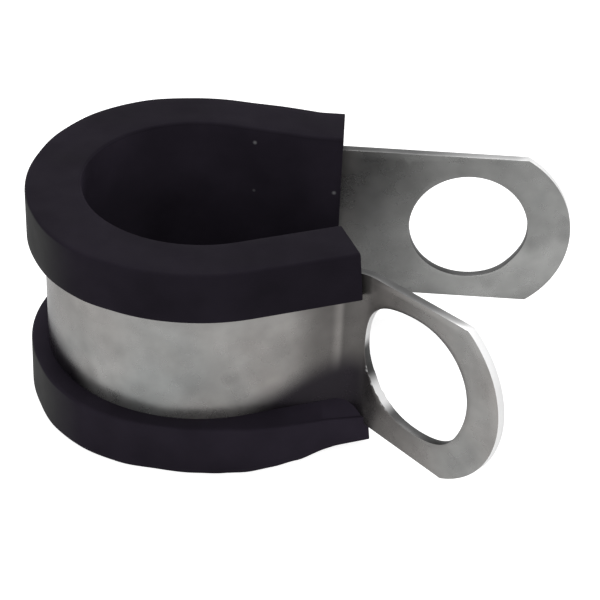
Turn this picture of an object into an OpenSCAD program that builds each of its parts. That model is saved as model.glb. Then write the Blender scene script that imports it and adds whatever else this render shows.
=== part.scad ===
// P clip for a cable or hose: a steel strip bent into an open loop with two holed ears, in a
// rubber channel that lines the loop and folds over both edges of the strip.
//
// Frame: the loop's axis is Z through the origin and the clip stands on the liner's lower rim
// at z = 0. Both ears reach towards +X. The back ear, on the +Y side, runs almost straight on
// from its leg, and the front ear, on the -Y side, is bent outwards. Sizes are millimetres.

/* [Strip] */
// Width of the steel strip
band_w = 15; // [12:0.5:20]
// Thickness of the steel strip
band_t = 0.8; // [0.6:0.1:1.2]
// Radius of the loop, to the middle of the strip
loop_r = 12.9; // [11:0.1:16]
// Angle at which each leg closes in from the loop towards the ears
leg_close = 16.5; // [10:0.5:22]

/* [Back ear] */
// Straight length of the back leg
back_leg = 7; // [4:0.1:9]
// Outward bend of the back ear
back_bend_angle = 10; // [4:0.5:20]
// Radius of the back bend, to the middle of the strip
back_bend_r = 4; // [3:0.5:6]
// Distance from the back bend to the hole
back_reach = 13.9; // [12:0.1:18]

/* [Front ear] */
// Straight length of the front leg
front_leg = 7.9; // [6:0.1:9.5]
// Outward bend of the front ear
front_bend_angle = 64.5; // [45:0.5:80]
// Radius of the front bend, to the middle of the strip
front_bend_r = 3.1; // [2.5:0.1:4]
// Distance from the front bend to the hole
front_reach = 4.9; // [4.7:0.1:8]

/* [Ear ends] */
// Diameter of the bolt hole
hole_d = 11; // [6:0.1:11]
// Radius of the ear's end, about the hole
ear_r = 9.1; // [8:0.1:10]

/* [Liner] */
// Thickness of the inner wall, between the strip and the cable
wall_t = 2.5; // [1.5:0.1:3]
// Thickness of the rims, over the strip's edges
rim_t = 2.5; // [1.5:0.1:3]
// Thickness of the lips, outside the strip
lip_t = 1.4; // [0.8:0.1:2]
// How far each lip folds down over the strip
lip_over = 2.2; // [1:0.1:4]
// Length of liner beyond the back bend
liner_back = 2; // [1:0.1:4]
// Length of liner along the front leg
liner_front = 10; // [9.5:0.1:12]
// Slant of the cut at the liner's front end
front_cut = 5.5; // [0:0.5:8]
// How far the lower lip's edge drops on its way to the front end
lip_drop = 1.5; // [0.5:0.1:1.8]
// Length over which it drops
drop_run = 12; // [6:0.5:14]

/* [Hidden] */

$fn = 96;
// Angle at which a straight line leaves a curve, so small that the two look tangent.
blend = 1.5;
// How far the plan's construction lines run past the clip, and cutting tools past what they cut.
far = 45;
cut_over = 1;

liner_w = band_w + 2 * rim_t;
mid_z = liner_w / 2;
leg_at = 90 - leg_close;
wall_in = -band_t / 2 - wall_t;
lip_out = band_t / 2 + lip_t;

// Places its children where the loop runs out into a leg: x along the leg, y outwards.
module at_leg(front) {
    mirror([0, front ? 1 : 0, 0])
        rotate([0, 0, leg_at])
            translate([loop_r, 0, 0])
                rotate([0, 0, -90])
                    children();
}

// Places its children past a bend that turns outwards: x along the ear, y outwards.
module past_bend(leg, turn, r) {
    translate([leg, r, 0])
        rotate([0, 0, turn])
            translate([0, -r, 0])
                children();
}

// Places its children in the frame of an ear.
module at_ear(front) {
    at_leg(front) {
        if (front)
            past_bend(front_leg, front_bend_angle, front_bend_r)
                children();
        else
            past_bend(back_leg, back_bend_angle, back_bend_r)
                children();
    }
}

// Plan of all that lies outside a leg and its bend, d out from the middle of the strip.
module outside_bend(leg, turn, r, d) {
    foot = (r - d) * cos(blend);
    run = 3 * far;
    translate([leg, r]) {
        circle(r = r - d);
        polygon([
            [0, -foot],
            [-run, -foot],
            [-run, run],
            [foot * sin(turn) + run * cos(turn), run * sin(turn) - foot * cos(turn)],
            [foot * sin(turn), -foot * cos(turn)]
        ]);
    }
}

// Plan of all that lies inside the clip, d out from the middle of the strip. The front leg
// either turns out into its ear or runs straight on.
module inside(d, straight = false) {
    circle(r = (loop_r + d) / cos(blend));
    difference() {
        polygon([
            [0, 0],
            [far * cos(leg_at), -far * sin(leg_at)],
            [far, -far],
            [far, far],
            [far * cos(leg_at), far * sin(leg_at)]
        ]);
        at_leg(false)
            outside_bend(back_leg, back_bend_angle, back_bend_r, d);
        at_leg(true) {
            if (straight)
                translate([-far, d])
                    square([3 * far, 2 * far]);
            else
                outside_bend(front_leg, front_bend_angle, front_bend_r, d);
        }
    }
}

// The strip's plan, drawn to its full width.
module strip() {
    translate([0, 0, rim_t])
        linear_extrude(band_w)
            difference() {
                inside(band_t / 2);
                inside(-band_t / 2);
            }
}

// What is cut off an ear: all past its blunt rounded end, and the bolt hole.
module ear_trim(reach) {
    translate([reach, cut_over + band_t, mid_z])
        rotate([90, 0, 0])
            linear_extrude(2 * (cut_over + band_t)) {
                difference() {
                    translate([0, -band_w])
                        square([2 * far, 2 * band_w]);
                    circle(r = ear_r);
                }
                circle(d = hole_d);
            }
}

module band() {
    color([0.62, 0.62, 0.63])
        difference() {
            strip();
            at_ear(false)
                ear_trim(back_reach);
            at_ear(true)
                ear_trim(front_reach);
        }
}

// What the two end cuts take off the liner. The front one is slanted.
module liner_trim() {
    at_ear(false)
        translate([liner_back, wall_in - cut_over, -cut_over])
            cube([2 * far, lip_out - wall_in + 2 * cut_over, liner_w + 2 * cut_over]);
    at_leg(true)
        translate([liner_front, wall_in - cut_over, mid_z])
            rotate([0, -front_cut, 0])
                translate([0, 0, -liner_w])
                    cube([2 * far, lip_out - wall_in + 2 * cut_over, 2 * liner_w]);
}

// What is taken off the lower lip, so that its edge drops towards the front end.
module lip_slope() {
    at_leg(true)
        translate([liner_front - drop_run, 0, rim_t + lip_over])
            rotate([0, atan(lip_drop / drop_run), 0])
                translate([-cut_over, 0, 0])
                    cube([2 * drop_run, lip_out + cut_over, lip_over]);
}

// The liner before its lower lip is sloped.
module channel() {
    difference() {
        linear_extrude(liner_w)
            difference() {
                inside(lip_out, straight = true);
                inside(wall_in, straight = true);
            }
        strip();
        translate([0, 0, rim_t + lip_over])
            linear_extrude(band_w - 2 * lip_over)
                difference() {
                    translate([-far, -far])
                        square([3 * far, 2 * far]);
                    inside(0, straight = true);
                }
        liner_trim();
    }
}

module liner() {
    color([0.1, 0.1, 0.11])
        difference() {
            channel();
            lip_slope();
        }
}

band();
liner();
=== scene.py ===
import math

import bmesh
import bpy
from mathutils import Matrix, Vector, noise


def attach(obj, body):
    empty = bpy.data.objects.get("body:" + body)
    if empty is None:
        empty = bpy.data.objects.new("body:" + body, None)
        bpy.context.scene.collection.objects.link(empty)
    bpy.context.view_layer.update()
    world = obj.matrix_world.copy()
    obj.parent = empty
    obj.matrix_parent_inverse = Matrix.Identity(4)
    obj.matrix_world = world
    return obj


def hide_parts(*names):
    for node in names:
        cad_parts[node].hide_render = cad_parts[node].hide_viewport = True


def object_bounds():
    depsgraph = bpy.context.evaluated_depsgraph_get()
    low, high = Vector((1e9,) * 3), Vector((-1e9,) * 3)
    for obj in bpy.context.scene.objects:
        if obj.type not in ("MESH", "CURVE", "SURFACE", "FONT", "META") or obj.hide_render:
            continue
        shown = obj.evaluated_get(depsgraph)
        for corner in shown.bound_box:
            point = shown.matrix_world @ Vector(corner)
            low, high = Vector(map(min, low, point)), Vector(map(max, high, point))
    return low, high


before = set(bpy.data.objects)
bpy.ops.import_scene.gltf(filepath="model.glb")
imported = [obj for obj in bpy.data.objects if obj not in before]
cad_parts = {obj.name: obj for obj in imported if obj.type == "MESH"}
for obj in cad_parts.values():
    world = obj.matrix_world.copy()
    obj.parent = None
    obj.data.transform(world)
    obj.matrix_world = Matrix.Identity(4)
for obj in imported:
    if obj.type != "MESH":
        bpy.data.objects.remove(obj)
cad_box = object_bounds()

# ---------------------------------------------------------------- sizes, in metres
MM = 0.001
TO_CM = 100

# The strip: a loop and two legs that close in, each then bent outwards into its ear.
STRIP_WIDTH = 15 * MM
STRIP_GAUGE = 0.8 * MM
LOOP_RADIUS = 12.9 * MM
LEG_CLOSE = math.radians(16.5)
FRONT_LEG = 7.9 * MM
FRONT_BEND = math.radians(64.5)
FRONT_BEND_RADIUS = 3.1 * MM
BACK_LEG = 7 * MM
BACK_BEND = math.radians(10)
BACK_BEND_RADIUS = 4 * MM

# The ears: the reach is from the end of the bend to the middle of the hole.
FRONT_REACH = 4.9 * MM
BACK_REACH = 13.9 * MM
HOLE_RADIUS = 5.5 * MM
EAR_RADIUS = 9.1 * MM

# The liner: a wall inside the loop, rims over the strip's edges and lips over its outer face.
# It runs on past the loop in front, where it is cut at a slant, and past the bend at the back.
# The squeeze is how deep it bites into the strip, so that no gap shows.
WALL = 2.5 * MM
RIM = 2.5 * MM
LIP = 1.4 * MM
LIP_OVER = 2.2 * MM
LINER_FRONT = 10 * MM
LINER_BACK = 2 * MM
FRONT_CUT = math.radians(5.5)
SQUEEZE = 0.015 * MM

# Worked out from those: lengths along the strip from the far side of the loop, and heights.
LINER_WIDTH = STRIP_WIDTH + 2 * RIM
MID_Z = LINER_WIDTH / 2
LOOP_HALF = (math.pi / 2 + LEG_CLOSE) * LOOP_RADIUS
FRONT_BEND_START = LOOP_HALF + FRONT_LEG
FRONT_BEND_END = FRONT_BEND_START + FRONT_BEND * FRONT_BEND_RADIUS
BACK_BEND_START = LOOP_HALF + BACK_LEG
BACK_BEND_END = BACK_BEND_START + BACK_BEND * BACK_BEND_RADIUS
FRONT_HOLE = FRONT_BEND_END + FRONT_REACH
BACK_HOLE = BACK_BEND_END + BACK_REACH
LINER_BACK_END = BACK_BEND_END + LINER_BACK


# ---------------------------------------------------------------- the strip's middle line
def middle_line(length, straight=False):
    """Point and outward side at a length along the strip, measured from the far side of the
    loop: positive towards the front ear, negative towards the back ear. With straight, the
    front leg runs on past its bend."""
    front = length >= 0
    leg, bend, radius = (
        (FRONT_LEG, FRONT_BEND, FRONT_BEND_RADIUS)
        if front
        else (BACK_LEG, BACK_BEND, BACK_BEND_RADIUS)
    )
    on_loop = min(abs(length), LOOP_HALF)
    past = abs(length) - on_loop
    angle = math.pi - on_loop / LOOP_RADIUS
    out = Vector((math.cos(angle), math.sin(angle)))
    along = Vector((out.y, -out.x))
    if past <= leg or (straight and front):
        point = out * LOOP_RADIUS + along * past
    else:
        centre = out * (LOOP_RADIUS + radius) + along * leg
        turned = min((past - leg) / radius, bend)
        rest = past - leg - turned * radius
        c, s = math.cos(turned), math.sin(turned)
        along, out = along * c + out * s, out * c - along * s
        point = centre - out * radius + along * rest
    if front:
        point, out = (Vector((v.x, -v.y)) for v in (point, out))
    return point, out


def on_strip(length, side, height, straight=False):
    """A point beside the middle line: side metres outwards of it, height metres up."""
    point, out = middle_line(length, straight)
    flat = point + out * side
    return Vector((flat.x, flat.y, height))


# ---------------------------------------------------------------- mesh helpers
EASE_SEGMENTS = 2


def join_rows(bm, rows, closed=True):
    """Faces between each row of points and the next. A closed row ends where it starts."""
    count = len(rows[0])
    for row, beyond in zip(rows, rows[1:]):
        for i in range(count if closed else count - 1):
            j = (i + 1) % count
            bm.faces.new((row[i], row[j], beyond[j], beyond[i]))


def add_piece(name, bm, materials):
    """Makes a finished bmesh a piece of the scene."""
    mesh = bpy.data.meshes.new(name)
    bm.to_mesh(mesh)
    bm.free()
    piece = bpy.data.objects.new(name, mesh)
    bpy.context.scene.collection.objects.link(piece)
    for material in materials:
        mesh.materials.append(material)
    return piece


def round_edges(piece, width, over_degrees):
    """Eases the edges that are sharper than an angle."""
    eased = piece.modifiers.new("eased", "BEVEL")
    eased.width = width
    eased.segments = EASE_SEGMENTS
    eased.limit_method = "ANGLE"
    eased.angle_limit = math.radians(over_degrees)


def settle(piece, sharp_degrees):
    """Applies the piece's modifiers to its mesh and shades it smooth below an angle."""
    bpy.context.view_layer.update()
    graph = bpy.context.evaluated_depsgraph_get()
    made = bpy.data.meshes.new_from_object(
        piece.evaluated_get(graph), preserve_all_data_layers=True, depsgraph=graph
    )
    old = piece.data
    piece.modifiers.clear()
    piece.data = made
    made.name = piece.name
    bpy.data.meshes.remove(old)
    for face in made.polygons:
        face.use_smooth = True
    made.set_sharp_from_angle(angle=math.radians(sharp_degrees))


# ---------------------------------------------------------------- the strip
# How finely it is made: faces across it, their length, and the steps of an ear's edges. The
# rings of an ear are shares of the way from its outline to its hole.
ACROSS = 18
ALONG_STEP = 0.35 * MM
EAR_EDGE_STEPS = 24
EAR_END_STEPS = 36
EAR_RINGS = (0, 0.3, 0.6, 0.85, 1)
ROOT_GAP = 0.8 * MM

# Edges over one angle are eased, and those over the other shade sharp, in degrees.
STEEL_EASE = 0.07 * MM
STEEL_EASE_OVER = 50
STEEL_SHARP_OVER = 40

# Small unevenness: the front ear's lower edge widens, the back ear's end sits low and long.
FRONT_CHIN = 0.8 * MM
BACK_DROP = 0.35 * MM
BACK_EXTRA = 0.3 * MM

# The front hole is punched wide and off its middle. Where it bulges, and where the back hole
# is flat: the angle about the hole and the spread, in degrees, and the depth.
FRONT_HOLE_WIDE = 0.1 * MM
FRONT_HOLE_SHIFT = 0.2 * MM
FRONT_HOLE_SHIFT_AT = math.radians(45)
FRONT_HOLE_BULGES = ((136, 26, 0.75 * MM), (-52, 24, 0.4 * MM))
BACK_HOLE_TIGHT = 0.06 * MM
BACK_HOLE_FLATS = ((-90, 40, 0.2 * MM), (-35, 18, 0.12 * MM))

# The burr on the front hole's edge: its angle and spread, in degrees, and its height. Its
# teeth are noise about a mean, stretched so far round the hole.
BURR_AT = -145
BURR_SPREAD = 24
BURR_HEIGHT = 0.16 * MM
BURR_TEETH = 14
BURR_MEAN = 0.5


def ear_outline(chin, end_drop, end_reach):
    """Outline of an ear about its hole, from one root corner round to the other. The lower edge
    widens by chin towards the round end, whose centre lies end_drop below the hole's and
    end_reach beyond it."""
    half = STRIP_WIDTH / 2
    root = -(HOLE_RADIUS + ROOT_GAP)
    first = -math.asin((half + chin - end_drop) / EAR_RADIUS)
    last = math.asin((half + end_drop) / EAR_RADIUS)
    low_x = end_reach + EAR_RADIUS * math.cos(first)
    high_x = end_reach + EAR_RADIUS * math.cos(last)
    outline = []
    for i in range(EAR_EDGE_STEPS):
        share = i / EAR_EDGE_STEPS
        outline.append((root + (low_x - root) * share, -half - chin * share))
    for i in range(EAR_END_STEPS):
        a = first + (last - first) * i / EAR_END_STEPS
        x, y = EAR_RADIUS * math.cos(a), EAR_RADIUS * math.sin(a)
        outline.append((end_reach + x, y - end_drop))
    for i in range(EAR_EDGE_STEPS):
        outline.append((high_x + (root - high_x) * i / EAR_EDGE_STEPS, half))
    for i in range(ACROSS):
        outline.append((root, half - STRIP_WIDTH * i / ACROSS))
    return outline


def swell(angle, at_degrees, spread_degrees):
    """1 at an angle, falling away smoothly either side of it."""
    off = math.remainder(angle - math.radians(at_degrees), math.tau)
    return math.exp(-((off / math.radians(spread_degrees)) ** 2))


def swells(angle, places):
    """The depths of several swells at an angle, added up."""
    return sum(depth * swell(angle, at, spread) for at, spread, depth in places)


def worn_hole(angle):
    """Radius of the front hole, punched out of round and burred beside the front bend."""
    radius = HOLE_RADIUS + FRONT_HOLE_WIDE + swells(angle, FRONT_HOLE_BULGES)
    radius += FRONT_HOLE_SHIFT * math.cos(angle - FRONT_HOLE_SHIFT_AT)
    teeth = noise.noise(Vector((angle * BURR_TEETH, 0, 0))) + BURR_MEAN
    return radius - BURR_HEIGHT * swell(angle, BURR_AT, BURR_SPREAD) * teeth


def flat_hole(angle):
    """Radius of the back hole, a little flat below."""
    return HOLE_RADIUS - BACK_HOLE_TIGHT - swells(angle, BACK_HOLE_FLATS)


def add_ear(bm, hole_at, way, outline, hole_edge):
    """Rings of faces from an ear's outline in to its hole."""
    rings = []
    for share in EAR_RINGS:
        ring = []
        for x, y in outline:
            angle = math.atan2(y, x)
            radius = hole_edge(angle)
            hx, hy = radius * math.cos(angle), radius * math.sin(angle)
            px, py = x + (hx - x) * share, y + (hy - y) * share
            ring.append(bm.verts.new((way * (hole_at + px), py, 0)))
        rings.append(ring)
    join_rows(bm, rings)


def strip_blank():
    """The punched strip before it is bent: x along it, y across it."""
    bm = bmesh.new()
    start = -(BACK_HOLE - HOLE_RADIUS - ROOT_GAP)
    end = FRONT_HOLE - HOLE_RADIUS - ROOT_GAP
    steps = math.ceil((end - start) / ALONG_STEP)
    rows = []
    for k in range(ACROSS + 1):
        y = STRIP_WIDTH * (k / ACROSS - 0.5)
        places = (start + (end - start) * i / steps for i in range(steps + 1))
        rows.append([bm.verts.new((x, y, 0)) for x in places])
    join_rows(bm, rows, closed=False)
    add_ear(bm, FRONT_HOLE, 1, ear_outline(FRONT_CHIN, 0, 0), worn_hole)
    add_ear(bm, BACK_HOLE, -1, ear_outline(0, BACK_DROP, BACK_EXTRA), flat_hole)
    bmesh.ops.remove_doubles(bm, verts=bm.verts, dist=0.001 * MM)
    return bm


def add_flat_map(bm):
    """Keeps each point's place on the flat strip, in centimetres, for the finishes."""
    layer = bm.loops.layers.uv.new("flat")
    for face in bm.faces:
        for loop in face.loops:
            loop[layer].uv = (loop.vert.co.x * TO_CM, loop.vert.co.y * TO_CM)


def make_strip(steel, cut_edge):
    """The strip, bent along its middle line and given its gauge."""
    bm = strip_blank()
    add_flat_map(bm)
    for vert in bm.verts:
        vert.co = on_strip(vert.co.x, 0, MID_Z + vert.co.y)
    bmesh.ops.recalc_face_normals(bm, faces=bm.faces)
    piece = add_piece("steel_strip", bm, (steel, cut_edge))
    gauge = piece.modifiers.new("gauge", "SOLIDIFY")
    gauge.thickness = STRIP_GAUGE
    gauge.offset = 0
    gauge.use_even_offset = True
    gauge.material_offset_rim = 1
    round_edges(piece, STEEL_EASE, STEEL_EASE_OVER)
    settle(piece, STEEL_SHARP_OVER)
    return piece


# ---------------------------------------------------------------- the liner
# The radii of its long edges and of the lips' edges, and how finely it is made.
LONG_EDGE = 0.3 * MM
LIP_EDGE = 0.25 * MM
ARC_STEPS = 4
SECTION_STEP = 0.8 * MM
LINER_STEP = 0.45 * MM
LINER_FRONT_STEPS = 28
RUBBER_EASE = 0.08 * MM
RUBBER_EASE_OVER = 60
RUBBER_SHARP_OVER = 35

# How far the lips stand out unevenly: length along the strip and stand, both in millimetres.
# The lower lip leans in: its edge has less of the stand than its foot, by this share.
LOWER_LEAN = 0.35
UPPER_STAND = [
    (-40, 0.1), (-32, 0.2), (-28, 0.3), (-24, 0.1), (-20, 0.12), (-16, 0.4), (-12, 0.4),
    (-8, 0.2), (-4, 0.03), (0, 0.08), (4, 0.15), (8, 0.3), (11, 0.28), (14, 0.08), (20, 0),
    (40, 0),
]
LOWER_STAND = [
    (-40, 0), (-6, 0), (0, 0.12), (4, 0.15), (8, 0.45), (11, 0.5), (14, 0.35), (17, 0.05),
    (20, 0.2), (22, 0.4), (24, 0.7), (26, 0.65), (28, 0.4), (31, 0), (40, 0),
]

# The lower lip's edge drops on its way to the front end, and the underside lifts there.
LIP_DROP = 1.5 * MM
DROP_RUN = 12 * MM
DROP_START = LOOP_HALF + LINER_FRONT - DROP_RUN
END_LIFT = 0.5 * MM
LIFT_START = 28.5 * MM


def rounded_outline(corners):
    """A closed outline from (x, y, radius) corners, each corner drawn as an arc."""
    outline = []
    count = len(corners)
    for i, (x, y, radius) in enumerate(corners):
        here = Vector((x, y))
        if radius <= 0:
            outline.append(here)
            continue
        before = (Vector(corners[i - 1][:2]) - here).normalized()
        after = (Vector(corners[(i + 1) % count][:2]) - here).normalized()
        opening = before.angle(after)
        reach = radius / math.tan(opening / 2)
        centre = here + (before + after).normalized() * radius / math.sin(opening / 2)
        first, last = here + before * reach - centre, here + after * reach - centre
        swing = first.angle_signed(last)
        for k in range(ARC_STEPS + 1):
            outline.append(centre + Matrix.Rotation(-swing * k / ARC_STEPS, 2) @ first)
    return outline


def liner_section():
    """The channel's section: x outwards of the strip's middle, y up from the lower rim."""
    slot = STRIP_GAUGE / 2 - SQUEEZE
    wall = -STRIP_GAUGE / 2 - WALL
    lip = STRIP_GAUGE / 2 + LIP
    top = LINER_WIDTH
    return rounded_outline([
        (wall, 0, LONG_EDGE),
        (lip, 0, LONG_EDGE),
        (lip, RIM + LIP_OVER, LIP_EDGE),
        (slot, RIM + LIP_OVER, 0),
        (slot, RIM, 0),
        (-slot, RIM, 0),
        (-slot, top - RIM, 0),
        (slot, top - RIM, 0),
        (slot, top - RIM - LIP_OVER, 0),
        (lip, top - RIM - LIP_OVER, LIP_EDGE),
        (lip, top, LONG_EDGE),
        (wall, top, LONG_EDGE),
    ])


def densify(outline, step):
    """Adds points along an outline's long sides."""
    dense = []
    for a, b in zip(outline, outline[1:] + outline[:1]):
        parts = max(1, round((b - a).length / step))
        dense += [a.lerp(b, k / parts) for k in range(parts)]
    return dense


def read_off(table, at):
    """Smooth reading between the rows of a table."""
    for (a, low), (b, high) in zip(table, table[1:]):
        if at <= b:
            share = max(0, (at - a) / (b - a))
            share = share * share * (3 - 2 * share)
            return low + (high - low) * share
    return table[-1][1]


def worn_section(point, length):
    """A section point once the lips stand out unevenly, the lower lip has dropped towards the
    front end and the underside has lifted a little there."""
    side, height = point
    slot = STRIP_GAUGE / 2
    lower = height < MID_Z
    if side > slot:
        stand = read_off(LOWER_STAND if lower else UPPER_STAND, length / MM) * MM
        upright = min(1, height / (RIM + LIP_OVER)) if lower else 0
        side += stand * (side - slot) / LIP * (1 - LOWER_LEAN * upright)
    drop = (length - DROP_START) / DROP_RUN
    if drop > 0 and point.x > slot and lower and height > RIM:
        height -= LIP_DROP * drop * (height - RIM) / LIP_OVER
    if length > LIFT_START and height < RIM:
        lift = min(1, (length - LIFT_START) / (FRONT_BEND_START - LIFT_START))
        height += END_LIFT * lift * (1 - height / RIM)
    return side, height


def make_liner(rubber, cut_rubber):
    """The liner: its section swept from its back end to the slanted cut at its front end."""
    section = densify(liner_section(), SECTION_STEP)
    back_run = LINER_BACK_END + LOOP_HALF
    back_steps = math.ceil(back_run / LINER_STEP)
    bm = bmesh.new()
    rings = []
    for i in range(back_steps + LINER_FRONT_STEPS + 1):
        ring = []
        for point in section:
            if i <= back_steps:
                length = -LINER_BACK_END + back_run * i / back_steps
            else:
                end = LINER_FRONT - (point.y - MID_Z) * math.tan(FRONT_CUT)
                length = LOOP_HALF + end * (i - back_steps) / LINER_FRONT_STEPS
            side, height = worn_section(point, length)
            ring.append(bm.verts.new(on_strip(length, side, height, straight=True)))
        rings.append(ring)
    join_rows(bm, rings)
    for ring in (rings[0], rings[-1]):
        face = bm.faces.new(ring)
        face.material_index = 1
    bmesh.ops.recalc_face_normals(bm, faces=bm.faces)
    piece = add_piece("rubber_liner", bm, (rubber, cut_rubber))
    round_edges(piece, RUBBER_EASE, RUBBER_EASE_OVER)
    settle(piece, RUBBER_SHARP_OVER)
    return piece


# ---------------------------------------------------------------- ways to mix a finish
BUMP_DEPTH = 0.02 * MM

# The raw noise of a mottle lies mostly between these two values.
CLOUD_LOW = 0.3
CLOUD_HIGH = 0.7


class Finish:
    """Short ways to add nodes to the tree of a material, a world or a node group. What they
    take is either a socket to link or a plain value to write."""

    def __init__(self, tree):
        self.new = tree.nodes.new
        self.link = tree.links.new

    def feed(self, node, values):
        """Gives each named socket of a node its value."""
        for label, value in values.items():
            if isinstance(value, bpy.types.NodeSocket):
                self.link(value, node.inputs[label])
            else:
                node.inputs[label].default_value = value

    def maths(self, operation, first, second):
        node = self.new("ShaderNodeMath")
        node.operation = operation
        self.feed(node, {0: first, 1: second})
        return node.outputs["Value"]

    def times(self, first, *others):
        for other in others:
            first = self.maths("MULTIPLY", first, other)
        return first

    def plus(self, first, second):
        return self.maths("ADD", first, second)

    def minus(self, first, second):
        return self.maths("SUBTRACT", first, second)

    def least(self, first, second):
        return self.maths("MINIMUM", first, second)

    def most(self, first, second):
        return self.maths("MAXIMUM", first, second)

    def ease(self, value, start, end, low=0.0, high=1.0):
        """A value that goes smoothly from low to high as the input goes from start to end."""
        node = self.new("ShaderNodeMapRange")
        node.interpolation_type = "SMOOTHSTEP"
        self.feed(node, {
            "Value": value, "From Min": start, "From Max": end, "To Min": low, "To Max": high
        })
        return node.outputs["Result"]

    def vector(self, operation, first, second):
        node = self.new("ShaderNodeVectorMath")
        node.operation = operation
        self.feed(node, {0: first, 1: second})
        return node.outputs["Value"]

    def near_spot(self, place, along, across, start, end):
        """1 about a spot on the flat strip, falling to 0 between two distances from it."""
        away = self.vector("DISTANCE", place, (along, across, 0))
        return self.ease(away, start, end, 1.0, 0.0)

    def axes(self, vector):
        node = self.new("ShaderNodeSeparateXYZ")
        self.feed(node, {"Vector": vector})
        return node.outputs

    def toned(self, colour, tone):
        """A colour made darker or lighter by a tone."""
        node = self.new("ShaderNodeVectorMath")
        node.operation = "SCALE"
        self.feed(node, {0: colour, "Scale": tone})
        return node.outputs["Vector"]

    def blend(self, share, first, second):
        """The first colour, which gives way to the second as the share rises."""
        node = self.new("ShaderNodeMix")
        node.data_type = "RGBA"
        self.feed(node, {"Factor": share, "A": first, "B": second})
        return node.outputs["Result"]

    def bump(self, height, strength):
        node = self.new("ShaderNodeBump")
        self.feed(node, {"Height": height, "Strength": strength, "Distance": BUMP_DEPTH})
        return node.outputs["Normal"]

    def place_group(self, group, values):
        node = self.new("ShaderNodeGroup")
        node.node_tree = group
        self.feed(node, values)
        return node.outputs[0]

    def mottle(self, vector, scale, detail, low=0.0, high=1.0):
        values = {"Vector": vector, "Scale": scale, "Detail": detail, "Low": low, "High": high}
        return self.place_group(MOTTLE, values)

    def specks(self, vector, scale, size, share):
        values = {"Vector": vector, "Scale": scale, "Size": size, "Share": share}
        return self.place_group(SPECKS, values)


def new_group(name, result, **inputs):
    """A shader node group that takes a vector and plain values and puts out one value."""
    group = bpy.data.node_groups.new(name, "ShaderNodeTree")
    group.interface.new_socket("Vector", in_out="INPUT", socket_type="NodeSocketVector")
    for label, value in inputs.items():
        socket = group.interface.new_socket(label, in_out="INPUT", socket_type="NodeSocketFloat")
        socket.default_value = value
    group.interface.new_socket(result, in_out="OUTPUT", socket_type="NodeSocketFloat")
    finish = Finish(group)
    given = finish.new("NodeGroupInput")
    return group, finish, given.outputs, finish.new("NodeGroupOutput")


def mottle_group():
    """Soft uneven patches: a value between Low and High that drifts over the surface."""
    group, finish, given, out = new_group(
        "Mottle", "Value", Scale=5.0, Detail=3.0, Low=0.0, High=1.0
    )
    cloud = finish.new("ShaderNodeTexNoise")
    finish.feed(cloud, {label: given[label] for label in ("Vector", "Scale", "Detail")})
    spread = finish.new("ShaderNodeMapRange")
    finish.feed(spread, {
        "Value": cloud.outputs["Fac"], "From Min": CLOUD_LOW, "From Max": CLOUD_HIGH,
        "To Min": given["Low"], "To Max": given["High"],
    })
    finish.feed(out, {"Value": spread.outputs["Result"]})
    return group


def speck_group():
    """Sparse round specks: 1 at a speck's middle, 0 from Size outwards. Share is how many of
    the cells have one."""
    group, finish, given, out = new_group("Specks", "Mask", Scale=5.0, Size=0.1, Share=0.3)
    cells = finish.new("ShaderNodeTexVoronoi")
    finish.feed(cells, {label: given[label] for label in ("Vector", "Scale")})
    body = finish.new("ShaderNodeMapRange")
    finish.feed(body, {
        "Value": cells.outputs["Distance"], "From Min": given["Size"], "From Max": 0
    })
    split = finish.new("ShaderNodeSeparateColor")
    finish.feed(split, {"Color": cells.outputs["Color"]})
    chosen = finish.maths("LESS_THAN", split.outputs["Red"], given["Share"])
    finish.feed(out, {"Mask": finish.times(body.outputs["Result"], chosen)})
    return group


MOTTLE = mottle_group()
SPECKS = speck_group()


def new_material(name):
    """A material, the finish to mix in it, and its shader."""
    material = bpy.data.materials.new(name)
    material.use_nodes = True
    return material, Finish(material.node_tree), material.node_tree.nodes["Principled BSDF"]


# ---------------------------------------------------------------- the strip's finishes
WARM_STEEL = (0.372, 0.352, 0.338, 1)
COOL_STEEL = (0.338, 0.345, 0.34, 1)
# The dark of the painted shade and painted reflection of the rubber beside the lower lip.
PAINTED_LIP_SHADE = (0.026, 0.022, 0.028, 1)
# The painted shade on the strip's cut edges.
SHADED_EDGE = (0.03, 0.03, 0.03, 1)
# White for the cut edges' painted highlight and the burr's painted glints.
BRIGHT = (1, 1, 1, 1)

# Places along the flat strip, in centimetres from the far side of the loop, as in its flat map.
# The limits of every mark below are in the same centimetres, and 0 across is the middle.
LEG_START = (LOOP_HALF - 0.5 * MM) * TO_CM
# Where the painted shade on the front leg begins.
LEG_SHADE_START = (FRONT_BEND_START - 5 * MM) * TO_CM
BEND_LINE = FRONT_BEND_START * TO_CM
# Where the painted shade beside the lower lip ends, past the front bend.
LIP_SHADE_END = (FRONT_BEND_END + 1.5 * MM) * TO_CM
FRONT_HOLE_AT = FRONT_HOLE * TO_CM
BACK_HOLE_AT = -BACK_HOLE * TO_CM
# The liner's back end, beside which the strip gets painted shade.
LINER_BACK_AT = -LINER_BACK_END * TO_CM

# The edge of the painted lip shade across the strip: at the leg's start, at the bend, and how
# much higher it lies at the loop's far side. In between it is thinner.
LIP_SHADE_ON_LOOP = -0.53
LIP_SHADE_AT_BEND = -0.15
LIP_SHADE_CLIMB = 0.36
LIP_SHADE_THIN = 0.3

# The share of its tone that the steel keeps under painted shade by the front bend and beside the
# liner's back end, where the shaded floor and the dark rubber would be mirrored, and at the
# loop's far side, where it is just darker. Past its bend the front ear gains tone again, and the
# line on the bend is a painted highlight, first lighter, then darker with painted shade.
FRONT_SHADE_TONE = 0.44
BACK_SHADE_TONE = 0.5
FAR_SIDE_TONE = 0.5
FRONT_EAR_GAIN = 0.76
LINE_LIGHTER = 0.3
LINE_DARKER = -0.42

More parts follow.
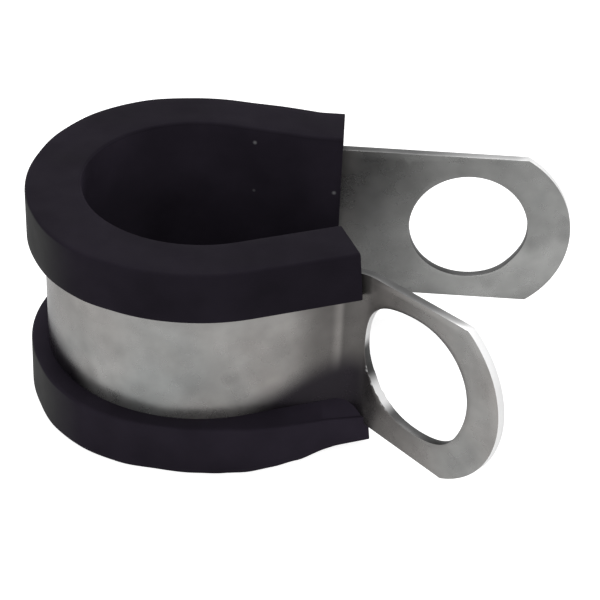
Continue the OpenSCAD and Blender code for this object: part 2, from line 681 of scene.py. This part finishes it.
# How much the grey spots darken the steel, and how much paler the back ear is below, and darker
# above, as painted light and shade.
SPOT_DEPTH = -0.3
EAR_PALER = 0.3
EAR_DARKER = -0.15

# Stretch of the grain along the strip and across it.
GRAIN_STRETCH = (1.2, 30, 1)


def flat_place(finish):
    """The place on the flat strip, and its parts along the strip and across it."""
    flat = finish.new("ShaderNodeUVMap")
    flat.uv_map = "flat"
    place = flat.outputs["UV"]
    axes = finish.axes(place)
    return place, axes["X"], axes["Y"]


def lip_shade_mask(finish, along, across):
    """Painted shade and a painted reflection of the dark lip along the lower lip, climbing at
    the loop's far side and by the front bend.
    """
    ease = finish.ease
    by_bend = ease(along, LEG_START - 0.2, BEND_LINE + 0.2, LIP_SHADE_ON_LOOP, LIP_SHADE_AT_BEND)
    far_side = finish.least(
        ease(along, -0.8, -0.1, 0.0, LIP_SHADE_CLIMB),
        ease(along, 0.2, 1.3, LIP_SHADE_CLIMB, 0.0),
    )
    above = finish.minus(across, finish.plus(by_bend, far_side))
    low = ease(above, -0.12, 0.2, 1.0, 0.0)
    thin_between = finish.most(
        ease(along, 0.8, 1.3, 1.0, LIP_SHADE_THIN),
        ease(along, LEG_START - 0.2, LEG_START + 0.35, LIP_SHADE_THIN, 1.0),
    )
    front_end = ease(along, BEND_LINE + 0.2, LIP_SHADE_END, 1.0, 0.0)
    back_end = ease(along, LINER_BACK_AT - 0.1, LINER_BACK_AT + 0.3)
    return finish.times(finish.times(low, thin_between), finish.times(front_end, back_end))


def painted_shade_tone(finish, along):
    """Painted shade by the front bend and beside the liner's back end, darker at the loop's far
    side, and a painted highlight line at the bend with painted shade just past it."""
    ease, plus = finish.ease, finish.plus
    front = plus(
        ease(along, LEG_SHADE_START, LEG_SHADE_START + 0.35, 1.0, FRONT_SHADE_TONE),
        ease(along, BEND_LINE - 0.05, BEND_LINE + 1.5, 0.0, FRONT_EAR_GAIN),
    )
    back = plus(
        ease(along, LINER_BACK_AT, LINER_BACK_AT + 0.4, BACK_SHADE_TONE, 1.0),
        ease(along, LINER_BACK_AT - 1.5, LINER_BACK_AT - 0.1, 1 - BACK_SHADE_TONE, 0.0),
    )
    far_side = plus(
        ease(along, 0.3, 1.1, FAR_SIDE_TONE, 1.0),
        ease(along, -0.9, -0.2, 1 - FAR_SIDE_TONE, 0.0),
    )
    # A painted highlight along the start of the bend, then painted shade just past it.
    painted_bend_line = plus(
        ease(along, BEND_LINE - 0.06, BEND_LINE + 0.02, 0.0, LINE_LIGHTER),
        ease(along, BEND_LINE + 0.02, BEND_LINE + 0.08, 0.0, LINE_DARKER),
    )
    return plus(finish.times(front, back, far_side), painted_bend_line)


def cool_share(finish, place, along):
    """Where the steel is cooler: in drifts away from the front bend, and at the back ear."""
    off_the_bend = finish.plus(
        finish.ease(along, LEG_SHADE_START - 0.1, LEG_SHADE_START + 0.4, 1.0, 0.0),
        finish.ease(along, BEND_LINE + 0.5, BEND_LINE + 1.2),
    )
    drifts = finish.times(finish.mottle(place, scale=0.9, detail=2), off_the_bend)
    return finish.most(drifts, finish.ease(along, LINER_BACK_AT + 0.2, LINER_BACK_AT - 0.3, 0.0, 0.8))


def steel_tone(finish, place, along, across):
    """Soft patches, painted shade and a painted highlight line, grey spots, and the back ear
    painted paler towards its lower edge.
    """
    patches = finish.times(
        finish.mottle(place, scale=2.4, detail=2, low=0.84, high=1.12),
        finish.mottle(place, scale=8, detail=3, low=0.95, high=1.05),
    )
    spots = finish.times(finish.specks(place, scale=3.1, size=0.33, share=0.3), SPOT_DEPTH)
    # Painted light and shade: the back ear paler low down and darker higher up.
    painted_ear_gradient = finish.times(
        finish.ease(along, LINER_BACK_AT + 0.2, LINER_BACK_AT - 0.5),
        finish.ease(across, -0.7, 0.6, EAR_PALER, EAR_DARKER),
    )
    # Painted shade and the painted highlight line on the bend.
    painted_shading = painted_shade_tone(finish, along)
    return finish.times(
        patches, painted_shading, finish.plus(spots, 1.0), finish.plus(painted_ear_gradient, 1.0)
    )


def burr_glint_mask(finish, place):
    """Painted glints: bright grains on the face, along the real burred stretch of the front
    hole's edge.
    """
    ring = finish.times(
        finish.near_spot(place, FRONT_HOLE_AT, 0, 0.56, 0.57),
        finish.near_spot(place, FRONT_HOLE_AT - 0.42, -0.33, 0.15, 0.25),
    )
    return finish.times(ring, finish.specks(place, scale=19, size=0.42, share=0.9))


def steel_material():
    """Satin stainless strip: fine lengthwise grain, soft patches and a warm to cool drift, with
    painted shade, painted reflections, a painted highlight line and painted glints in its
    colour.
    """
    material, finish, shader = new_material("strip_steel")
    place, along, across = flat_place(finish)
    plain = finish.blend(cool_share(finish, place, along), WARM_STEEL, COOL_STEEL)
    toned = finish.toned(plain, steel_tone(finish, place, along, across))
    # Painted shade and a painted reflection of the dark lip, mixed in beside the lower lip.
    lip_shaded = finish.blend(lip_shade_mask(finish, along, across), toned, PAINTED_LIP_SHADE)
    # Painted glints on the burred stretch of the front hole.
    burr_glints = finish.blend(burr_glint_mask(finish, place), lip_shaded, BRIGHT)
    stretch = finish.new("ShaderNodeMapping")
    finish.feed(stretch, {"Vector": place, "Scale": GRAIN_STRETCH})
    grain = finish.mottle(stretch.outputs["Vector"], scale=6, detail=5)
    finish.feed(shader, {
        "Base Color": burr_glints,
        "Metallic": 0.8,
        "Roughness": finish.mottle(place, scale=4, detail=3, low=0.24, high=0.32),
        "Normal": finish.bump(grain, strength=0.05),
    })
    return material


def cut_edge_material():
    """Edges of the strip: painted shade at the roots and in the holes, a painted highlight
    towards the sheared ends, and painted glints where the front hole is burred."""
    material, finish, shader = new_material("strip_cut_edge")
    place, along, _ = flat_place(finish)
    sheared = finish.plus(
        finish.ease(along, FRONT_HOLE_AT + 0.35, FRONT_HOLE_AT + 0.65, 0.0, 0.85),
        finish.ease(along, BACK_HOLE_AT - 0.35, BACK_HOLE_AT - 0.65, 0.0, 0.85),
    )
    sides = finish.plus(
        finish.ease(along, FRONT_HOLE_AT, FRONT_HOLE_AT + 0.6, 0.0, 0.4),
        finish.ease(along, BACK_HOLE_AT + 0.9, BACK_HOLE_AT - 0.6, 0.0, 0.4),
    )
    in_a_hole = finish.most(
        finish.near_spot(place, FRONT_HOLE_AT, 0, 0.67, 0.72),
        finish.near_spot(place, BACK_HOLE_AT, 0, 0.67, 0.72),
    )
    # Painted highlight towards the sheared ends and sides, kept off the holes, whose walls keep
    # the painted shade.
    edge_highlight = finish.times(finish.plus(sheared, sides), finish.minus(1.0, in_a_hole))
    # Painted glints where the front hole is burred.
    burr_glints = finish.most(
        finish.near_spot(place, FRONT_HOLE_AT - 0.39, -0.39, 0.06, 0.22),
        finish.near_spot(place, FRONT_HOLE_AT - 0.5, 0.25, 0.12, 0.25),
    )
    bright = finish.plus(edge_highlight, finish.times(burr_glints, 0.8))
    ramp = finish.new("ShaderNodeValToRGB")
    ramp.color_ramp.elements[0].color = SHADED_EDGE
    ramp.color_ramp.elements[1].color = BRIGHT
    uneven = finish.mottle(place, scale=2.2, detail=3, high=0.07)
    finish.feed(ramp, {"Fac": finish.plus(uneven, bright)})
    finish.feed(shader, {
        "Base Color": ramp.outputs["Color"],
        "Metallic": 0.7,
        "Roughness": finish.mottle(place, scale=6, detail=2, low=0.4, high=0.5),
    })
    return material


# ---------------------------------------------------------------- the liner's finishes
RUBBER = (0.0145, 0.012, 0.0175)
# The grey of the painted sheen on walls that face away from the ears.
PAINTED_SHEEN_GREY = (0.05, 0.05, 0.05, 1)
DUST = (0.2, 0.2, 0.21, 1)
RUBBER_SHEEN = 0.025


def rubber_tone(finish, place, facing, outwards):
    """Uneven rubber, with painted light in the bore and low down, more so towards the ears."""
    uneven = finish.mottle(place, scale=180, detail=3, low=0.8, high=1.2)
    # Painted light in the bore and on walls that face the ears.
    lit_bore = finish.times(
        finish.ease(outwards, -9 * MM, -4 * MM, 1.35, 1.0),
        finish.ease(facing["X"], 0.3, 0.9, 1.0, 1.8),
    )
    level = finish.axes(place)
    # Painted light low down, more towards the ears.
    lit_foot = finish.times(
        finish.ease(level["Z"], 4 * MM, 7 * MM, 1.0, 0.0),
        finish.ease(level["X"], 3 * MM, 12 * MM, 0.4, 0.95),
    )
    return finish.times(uneven, finish.times(lit_bore, finish.plus(lit_foot, 1.0)))


def rubber_material(name, rough_low, rough_high):
    """Matt black rubber, with a painted grey sheen where its walls face away from the ears, and
    a few specks of dust."""
    material, finish, shader = new_material(name)
    coordinates = finish.new("ShaderNodeTexCoord").outputs
    place, normal = coordinates["Object"], coordinates["Normal"]
    facing = finish.axes(normal)
    outwards = finish.vector("DOT_PRODUCT", normal, place)
    toned = finish.toned(RUBBER, rubber_tone(finish, place, facing, outwards))
    # Painted sheen where the walls face away from the ears.
    painted_sheen = finish.ease(facing["X"], -1.0, -0.65, 1.0, 0.0)
    with_sheen = finish.blend(painted_sheen, toned, PAINTED_SHEEN_GREY)
    dust = finish.specks(place, scale=420, size=0.1, share=0.15)
    skin = finish.mottle(place, scale=3500, detail=4)
    finish.feed(shader, {
        "Base Color": finish.blend(dust, with_sheen, DUST),
        "Specular IOR Level": RUBBER_SHEEN,
        "Roughness": finish.mottle(place, scale=400, detail=3, low=rough_low, high=rough_high),
        "Normal": finish.bump(skin, strength=0.15),
    })
    return material


# ---------------------------------------------------------------- the two pieces
strip = make_strip(steel_material(), cut_edge_material())
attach(strip, "root")
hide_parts("band")

liner = make_liner(
    rubber_material("liner_rubber", rough_low=0.55, rough_high=0.68),
    rubber_material("liner_cut_rubber", rough_low=0.7, rough_high=0.8),
)
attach(liner, "root")
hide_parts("liner")


# ---------------------------------------------------------------- floor, light and camera
WHITE = (1, 1, 1, 1)
FLOOR_PAINT = (0.8, 0.8, 0.8, 1)
FLOOR_SIZE = 1.5
FLOOR_GAP = 0.02 * MM

# How much the floor glows where it is seen and in metal, and how strongly the air lights.
FLOOR_LIFT = 0.8
FLOOR_IN_METAL = 0.2
AIR_LIGHT = 0.3

# Each lamp's name, place and watts.
LAMPS = (
    ("back_softbox", (-0.06, 0.16, 0.44), 1.1),
    ("front_fill", (-0.15, -0.45, 0.22), 1.0),
)
LAMP_SIZE = 0.3
LAMP_AIM = (8 * MM, 0, MID_Z)

# The camera's lens and sensor are in millimetres.
CAMERA_AZIMUTH = math.radians(-4.42)
CAMERA_ELEVATION = math.radians(34.21)
CAMERA_ROLL = math.radians(-2.47)
CAMERA_DISTANCE = 170.8 * MM
CAMERA_AIM = Vector((8.705 * MM, -3.422 * MM, 10 * MM))
CAMERA_LENS = 118.25
CAMERA_SENSOR = 36
CAMERA_NEAR = 10 * MM


def backdrop_rays(finish):
    """Masks of the rays that show the background: seen straight, and in metal or glass."""
    path = finish.new("ShaderNodeLightPath").outputs
    mirrored = finish.plus(path["Is Glossy Ray"], path["Is Transmission Ray"])
    return path["Is Camera Ray"], mirrored


def floor_material():
    """Pale paint that keeps the clip's shadow, lifted to white where the camera sees it."""
    material, finish, shader = new_material("studio_floor")
    material.node_tree.nodes.remove(shader)
    paint = finish.new("ShaderNodeBsdfDiffuse")
    finish.feed(paint, {"Color": FLOOR_PAINT})
    seen, mirrored = backdrop_rays(finish)
    lift = finish.plus(finish.times(seen, FLOOR_LIFT), finish.times(mirrored, FLOOR_IN_METAL))
    glow = finish.new("ShaderNodeEmission")
    finish.feed(glow, {"Strength": lift})
    both = finish.new("ShaderNodeAddShader")
    finish.feed(both, {0: paint.outputs["BSDF"], 1: glow.outputs["Emission"]})
    surface = material.node_tree.nodes["Material Output"]
    finish.feed(surface, {"Surface": both.outputs["Shader"]})
    return material


def make_floor():
    """The floor, just below the liner's lower rim."""
    bm = bmesh.new()
    bmesh.ops.create_grid(bm, x_segments=1, y_segments=1, size=FLOOR_SIZE)
    floor = add_piece("studio_floor", bm, (floor_material(),))
    floor.location.z = cad_box[0].z - FLOOR_GAP


def make_world():
    """Air that is white where it is seen or mirrored, and lights the clip at a lower level."""
    world = bpy.data.worlds.new("studio_air")
    bpy.context.scene.world = world
    world.use_nodes = True
    finish = Finish(world.node_tree)
    lift = finish.times(finish.plus(*backdrop_rays(finish)), 1 - AIR_LIGHT)
    finish.feed(world.node_tree.nodes["Background"], {
        "Color": WHITE, "Strength": finish.plus(lift, AIR_LIGHT)
    })


def add_lamp(name, place, watts):
    """A round soft lamp that points at the middle of the clip."""
    lamp = bpy.data.lights.new(name, "AREA")
    lamp.shape = "DISK"
    lamp.size = LAMP_SIZE
    lamp.energy = watts
    holder = bpy.data.objects.new(name, lamp)
    bpy.context.scene.collection.objects.link(holder)
    holder.location = place
    holder.rotation_mode = "QUATERNION"
    aim = Vector(LAMP_AIM) - Vector(place)
    holder.rotation_quaternion = aim.to_track_quat("-Z", "Y")


def make_camera():
    """The camera, turned about its aim by azimuth, elevation and roll."""
    a, e, r = CAMERA_AZIMUTH, CAMERA_ELEVATION, CAMERA_ROLL
    back = Vector((math.sin(a) * math.cos(e), -math.cos(a) * math.cos(e), math.sin(e)))
    right = Vector((math.cos(a), math.sin(a), 0))
    up = back.cross(right)
    side = right * math.cos(r) - up * math.sin(r)
    rise = right * math.sin(r) + up * math.cos(r)
    data = bpy.data.cameras.new("studio_camera")
    data.lens = CAMERA_LENS
    data.sensor_width = CAMERA_SENSOR
    data.clip_start = CAMERA_NEAR
    camera = bpy.data.objects.new("studio_camera", data)
    bpy.context.scene.collection.objects.link(camera)
    turn = Matrix((side, rise, back)).transposed().to_4x4()
    camera.matrix_world = Matrix.Translation(CAMERA_AIM + back * CAMERA_DISTANCE) @ turn
    bpy.context.scene.camera = camera


make_floor()
make_world()
for lamp_name, lamp_place, lamp_watts in LAMPS:
    add_lamp(lamp_name, lamp_place, lamp_watts)
make_camera()
bpy.context.scene.view_settings.view_transform = "Standard"
